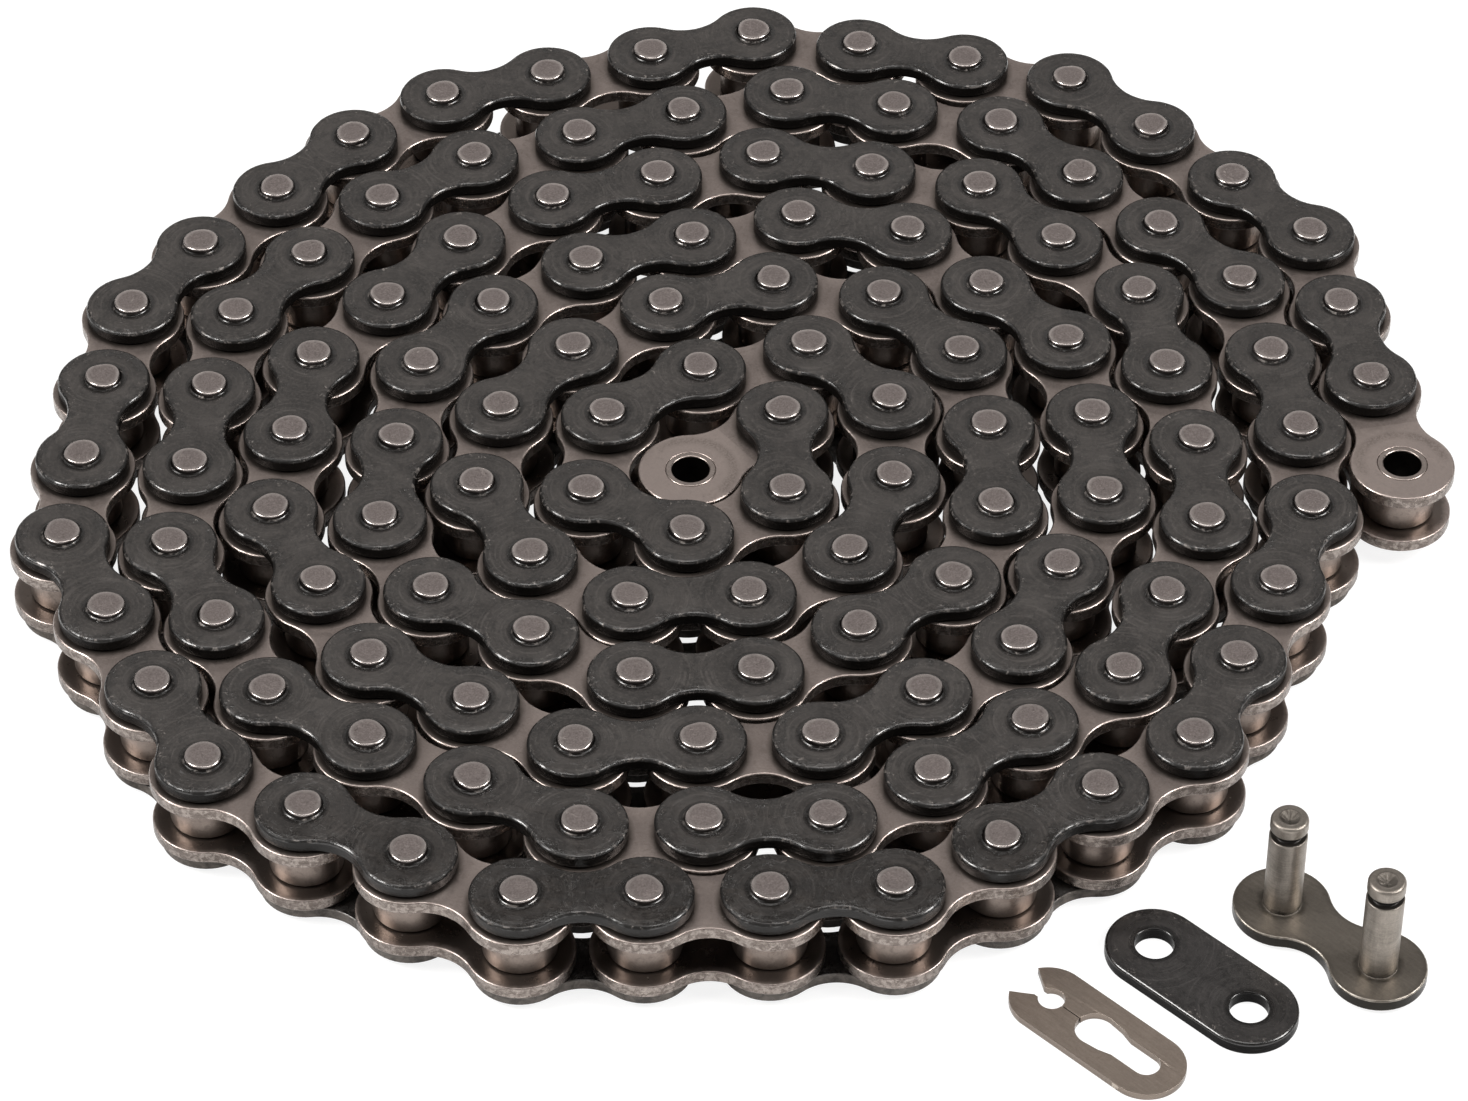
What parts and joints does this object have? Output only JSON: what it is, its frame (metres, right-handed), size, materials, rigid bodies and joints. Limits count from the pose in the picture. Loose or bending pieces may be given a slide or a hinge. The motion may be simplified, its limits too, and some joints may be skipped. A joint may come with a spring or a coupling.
{
  "type": "motorcycle drive chain",
  "caption": "Half-inch-pitch motorcycle roller chain coiled flat, with dark outer plates over bright inner links and its loose spring-clip connecting link beside it.",
  "frame": {"origin": "middle of the coil's and loose link's footprint, on the surface they lie on", "axes": "+Z along every pin, away from that surface; +X and +Y across the coil, with the loose connecting link towards +X and -Y"},
  "size_m": [0.1566, 0.1629, 0.0145],
  "materials": {
    "outer_plate_steel": "satin",
    "inner_plate_steel": "satin",
    "pin_steel": "satin",
    "bush_steel": "satin",
    "roller_steel": "satin",
    "link_plate_steel": "satin",
    "link_plate_black": "gloss",
    "clip_steel": "satin"
  },
  "bodies": {
    "coil": {"coil_bushes": "bush_steel", "coil_inner_plates_bottom": "inner_plate_steel", "coil_inner_plates_top": "inner_plate_steel", "coil_outer_plates_bottom": "outer_plate_steel", "coil_outer_plates_top": "outer_plate_steel", "coil_pins": "pin_steel", "coil_rollers": "roller_steel"},
    "tail01": {"tail01_bushes": "bush_steel", "tail01_inner_plate_bottom": "inner_plate_steel", "tail01_inner_plate_top": "inner_plate_steel"},
    "tail01_roller_a": {"tail01_roller_a": "roller_steel"},
    "tail01_roller_b": {"tail01_roller_b": "roller_steel"},
    "tail02": {"tail02_outer_plate_bottom": "outer_plate_steel", "tail02_outer_plate_top": "outer_plate_steel", "tail02_pins": "pin_steel"},
    "tail03": {"tail03_bushes": "bush_steel", "tail03_inner_plate_bottom": "inner_plate_steel", "tail03_inner_plate_top": "inner_plate_steel"},
    "tail03_roller_a": {"tail03_roller_a": "roller_steel"},
    "tail03_roller_b": {"tail03_roller_b": "roller_steel"},
    "tail04": {"tail04_outer_plate_bottom": "outer_plate_steel", "tail04_outer_plate_top": "outer_plate_steel", "tail04_pins": "pin_steel"},
    "tail05": {"tail05_bushes": "bush_steel", "tail05_inner_plate_bottom": "inner_plate_steel", "tail05_inner_plate_top": "inner_plate_steel"},
    "tail05_roller_a": {"tail05_roller_a": "roller_steel"},
    "tail05_roller_b": {"tail05_roller_b": "roller_steel"},
    "tail06": {"tail06_outer_plate_bottom": "outer_plate_steel", "tail06_outer_plate_top": "outer_plate_steel", "tail06_pins": "pin_steel"},
    "tail07": {"tail07_bushes": "bush_steel", "tail07_inner_plate_bottom": "inner_plate_steel", "tail07_inner_plate_top": "inner_plate_steel"},
    "tail07_roller_a": {"tail07_roller_a": "roller_steel"},
    "tail07_roller_b": {"tail07_roller_b": "roller_steel"},
    "tail08": {"tail08_outer_plate_bottom": "outer_plate_steel", "tail08_outer_plate_top": "outer_plate_steel", "tail08_pins": "pin_steel"},
    "tail09": {"tail09_bushes": "bush_steel", "tail09_inner_plate_bottom": "inner_plate_steel", "tail09_inner_plate_top": "inner_plate_steel"},
    "tail09_roller_a": {"tail09_roller_a": "roller_steel"},
    "tail09_roller_b": {"tail09_roller_b": "roller_steel"},
    "tail10": {"tail10_outer_plate_bottom": "outer_plate_steel", "tail10_outer_plate_top": "outer_plate_steel", "tail10_pins": "pin_steel"},
    "tail11": {"tail11_bushes": "bush_steel", "tail11_inner_plate_bottom": "inner_plate_steel", "tail11_inner_plate_top": "inner_plate_steel"},
    "tail11_roller_a": {"tail11_roller_a": "roller_steel"},
    "tail11_roller_b": {"tail11_roller_b": "roller_steel"},
    "tail12": {"tail12_outer_plate_bottom": "outer_plate_steel", "tail12_outer_plate_top": "outer_plate_steel", "tail12_pins": "pin_steel"},
    "pin_link": {"connecting_pin_plate": "link_plate_steel", "connecting_pins": "pin_steel"},
    "connecting_outer_plate": {"connecting_outer_plate": "link_plate_black"},
    "spring_clip": {"spring_clip": "clip_steel"}
  },
  "joints": [
    {"name": "link_hinge_12", "type": "hinge", "parent": "coil", "child": "tail12", "pos_m": [-0.03455, 0.06368, 0.00629], "axis": [0, 0, -1], "range_deg": [-68.04, 0]},
    {"name": "link_hinge_11", "type": "hinge", "parent": "tail12", "child": "tail11", "pos_m": [-0.02254, 0.06782, 0.00629], "axis": [0, 0, 1], "range_deg": [0, 50.75]},
    {"name": "link_hinge_10", "type": "hinge", "parent": "tail11", "child": "tail10", "pos_m": [-0.01048, 0.07179, 0.00629], "axis": [0, 0, -1], "range_deg": [-50.31, 0]},
    {"name": "link_hinge_09", "type": "hinge", "parent": "tail10", "child": "tail09", "pos_m": [0.0016, 0.0757, 0.00629], "axis": [0, 0, 1], "range_deg": [0, 78.21]},
    {"name": "link_hinge_08", "type": "hinge", "parent": "tail09", "child": "tail08", "pos_m": [0.0141, 0.07344, 0.00629], "axis": [0, 0, -1], "range_deg": [-52.57, 0]},
    {"name": "link_hinge_07", "type": "hinge", "parent": "tail08", "child": "tail07", "pos_m": [0.02648, 0.07061, 0.00629], "axis": [0, 0, 1], "range_deg": [0, 53.06]},
    {"name": "link_hinge_06", "type": "hinge", "parent": "tail07", "child": "tail06", "pos_m": [0.03869, 0.06713, 0.00629], "axis": [0, 0, -1], "range_deg": [-78.46, 0]},
    {"name": "link_hinge_05", "type": "hinge", "parent": "tail06", "child": "tail05", "pos_m": [0.04777, 0.05825, 0.00629], "axis": [0, 0, 1], "range_deg": [0, 51.35]},
    {"name": "link_hinge_04", "type": "hinge", "parent": "tail05", "child": "tail04", "pos_m": [0.05664, 0.04916, 0.00629], "axis": [0, 0, -1], "range_deg": [-53.54, 0]},
    {"name": "link_hinge_03", "type": "hinge", "parent": "tail04", "child": "tail03", "pos_m": [0.06493, 0.03953, 0.00629], "axis": [0, 0, 1], "range_deg": [0, 78.89]},
    {"name": "link_hinge_02", "type": "hinge", "parent": "tail03", "child": "tail02", "pos_m": [0.06753, 0.0271, 0.00629], "axis": [0, 0, -1], "range_deg": [-50.91, 0]},
    {"name": "link_hinge_01", "type": "hinge", "parent": "tail02", "child": "tail01", "pos_m": [0.06994, 0.01464, 0.00629], "axis": [0, 0, 1], "range_deg": [0, 49.01]},
    {"name": "roller_spin_01a", "type": "hinge", "parent": "tail01", "child": "tail01_roller_a", "pos_m": [0.07257, 0.00221, 0.00629], "axis": [0, 0, 1], "continuous": true},
    {"name": "roller_spin_01b", "type": "hinge", "parent": "tail01", "child": "tail01_roller_b", "pos_m": [0.06994, 0.01464, 0.00629], "axis": [0, 0, 1], "continuous": true},
    {"name": "roller_spin_03a", "type": "hinge", "parent": "tail03", "child": "tail03_roller_a", "pos_m": [0.06753, 0.0271, 0.00629], "axis": [0, 0, 1], "continuous": true},
    {"name": "roller_spin_03b", "type": "hinge", "parent": "tail03", "child": "tail03_roller_b", "pos_m": [0.06493, 0.03953, 0.00629], "axis": [0, 0, 1], "continuous": true},
    {"name": "roller_spin_05a", "type": "hinge", "parent": "tail05", "child": "tail05_roller_a", "pos_m": [0.05664, 0.04916, 0.00629], "axis": [0, 0, 1], "continuous": true},
    {"name": "roller_spin_05b", "type": "hinge", "parent": "tail05", "child": "tail05_roller_b", "pos_m": [0.04777, 0.05825, 0.00629], "axis": [0, 0, 1], "continuous": true},
    {"name": "roller_spin_07a", "type": "hinge", "parent": "tail07", "child": "tail07_roller_a", "pos_m": [0.03869, 0.06713, 0.00629], "axis": [0, 0, 1], "continuous": true},
    {"name": "roller_spin_07b", "type": "hinge", "parent": "tail07", "child": "tail07_roller_b", "pos_m": [0.02648, 0.07061, 0.00629], "axis": [0, 0, 1], "continuous": true},
    {"name": "roller_spin_09a", "type": "hinge", "parent": "tail09", "child": "tail09_roller_a", "pos_m": [0.0141, 0.07344, 0.00629], "axis": [0, 0, 1], "continuous": true},
    {"name": "roller_spin_09b", "type": "hinge", "parent": "tail09", "child": "tail09_roller_b", "pos_m": [0.0016, 0.0757, 0.00629], "axis": [0, 0, 1], "continuous": true},
    {"name": "roller_spin_11a", "type": "hinge", "parent": "tail11", "child": "tail11_roller_a", "pos_m": [-0.01048, 0.07179, 0.00629], "axis": [0, 0, 1], "continuous": true},
    {"name": "roller_spin_11b", "type": "hinge", "parent": "tail11", "child": "tail11_roller_b", "pos_m": [-0.02254, 0.06782, 0.00629], "axis": [0, 0, 1], "continuous": true},
    {"name": "pin_link_insert", "type": "slide", "parent": "coil", "child": "pin_link", "axis": [0, 0, 1], "range_m": [0, 0.0125]},
    {"name": "outer_plate_fit", "type": "slide", "parent": "coil", "child": "connecting_outer_plate", "axis": [0, 0, 1], "range_m": [0, 0.0125]},
    {"name": "clip_release", "type": "slide", "parent": "coil", "child": "spring_clip", "axis": [0.7206, -0.6934, 0], "range_m": [0, 0.0067]}
  ]
}
